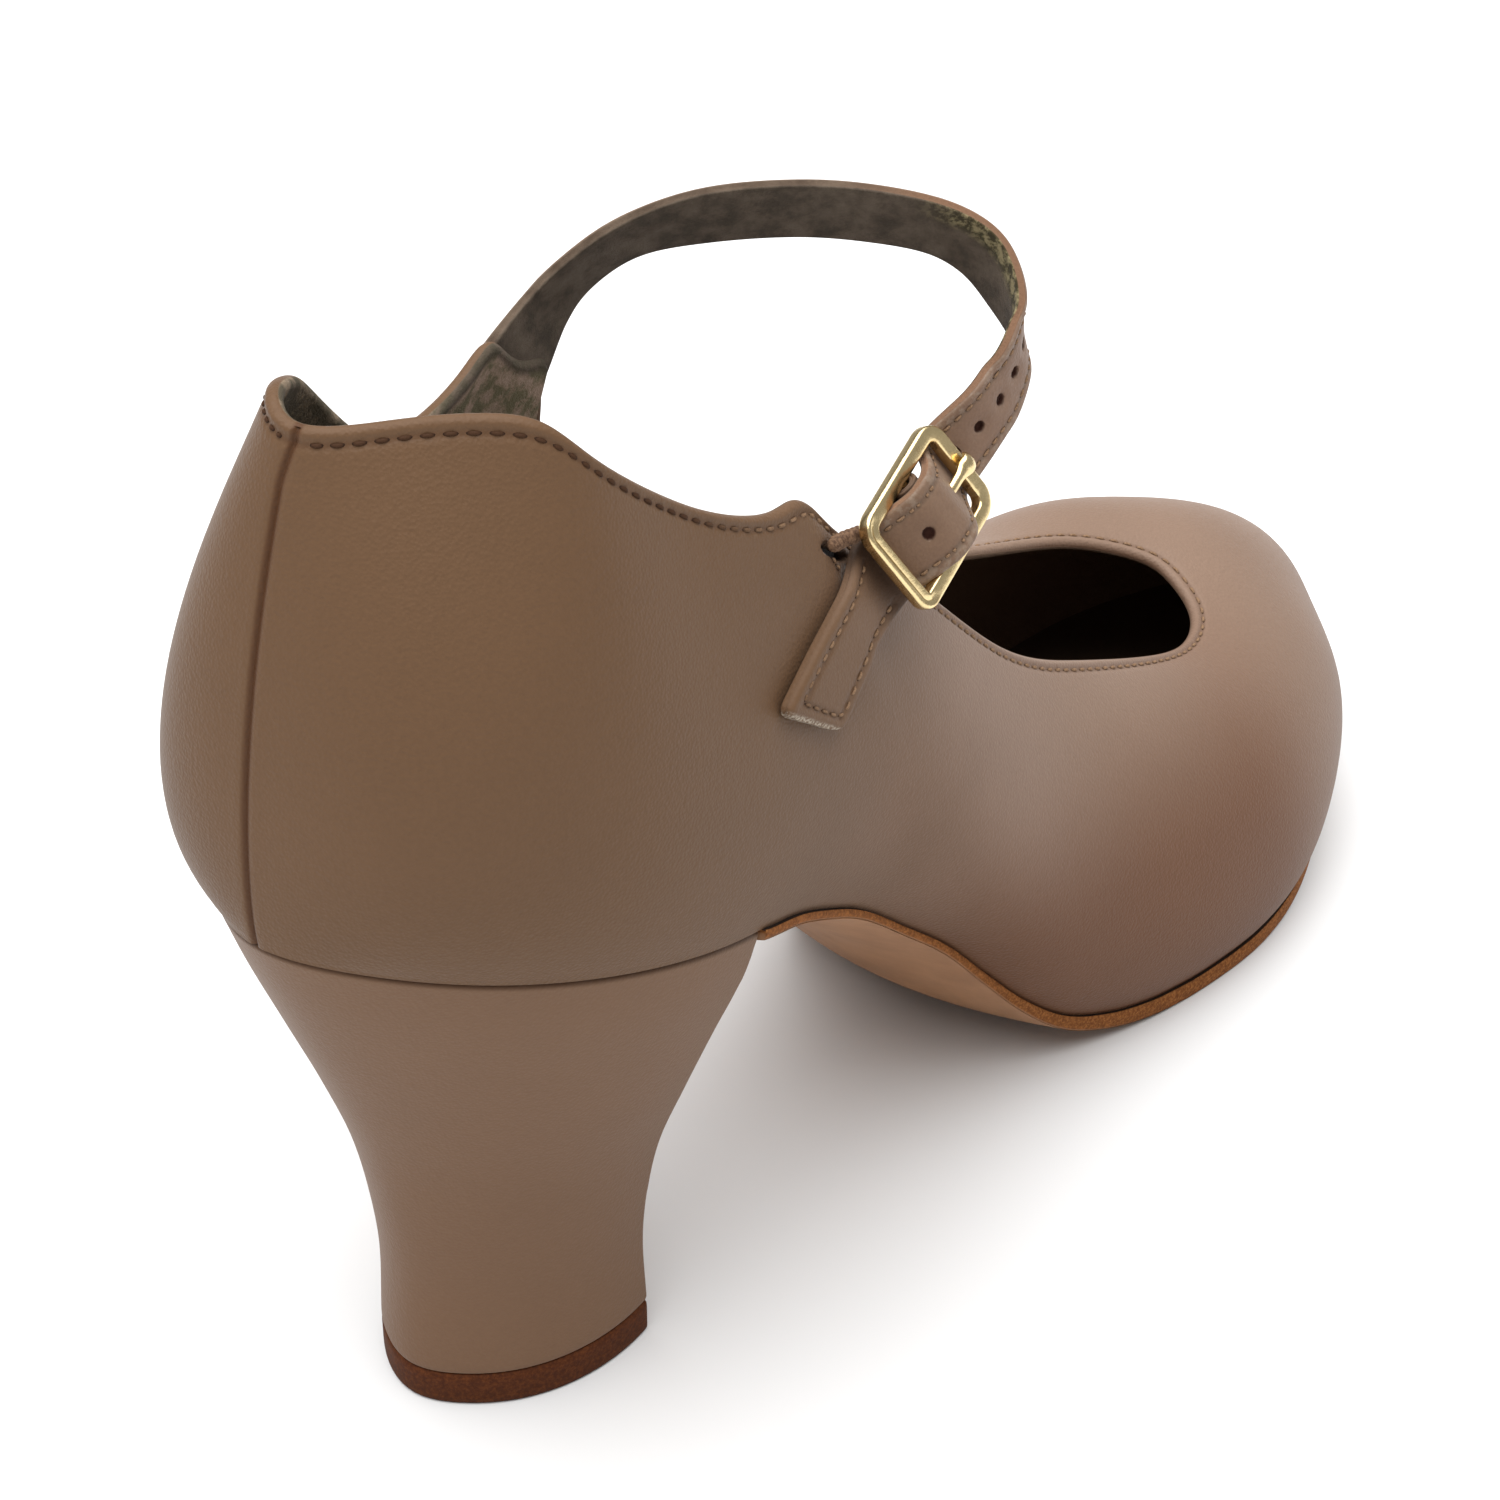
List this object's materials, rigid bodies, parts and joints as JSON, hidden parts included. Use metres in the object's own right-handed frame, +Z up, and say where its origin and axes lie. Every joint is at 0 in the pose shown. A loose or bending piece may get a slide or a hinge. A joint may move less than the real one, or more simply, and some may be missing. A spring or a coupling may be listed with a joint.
{
  "type": "character shoe",
  "caption": "Heeled leather character shoe for dance: closed round toe, open throat, instep strap with a brass buckle, covered flared heel and thin leather sole.",
  "frame": {"origin": "middle of the top piece's bottom face, where the heel stands on the floor", "axes": "+X from the heel to the toe along the heel's own axis, +Y to the inner side of this right shoe, +Z up"},
  "size_m": [0.2326, 0.0764, 0.1353],
  "materials": {
    "tan_leather": "smooth matt tan leather",
    "heel_cover": "the same tan leather over a solid heel block",
    "sole_leather": "brown sole leather with a rough cut edge",
    "insole_leather": "dark lining leather",
    "gilt_brass": "polished gold-coloured plating"
  },
  "bodies": {
    "root": {"upper": "tan_leather", "strap": "tan_leather", "buckle_carrier": "tan_leather", "heel": "heel_cover", "outsole": "sole_leather", "top_piece": "sole_leather", "insole": "insole_leather", "buckle_frame": "gilt_brass", "buckle_prong": "gilt_brass"}
  },
  "joints": []
}
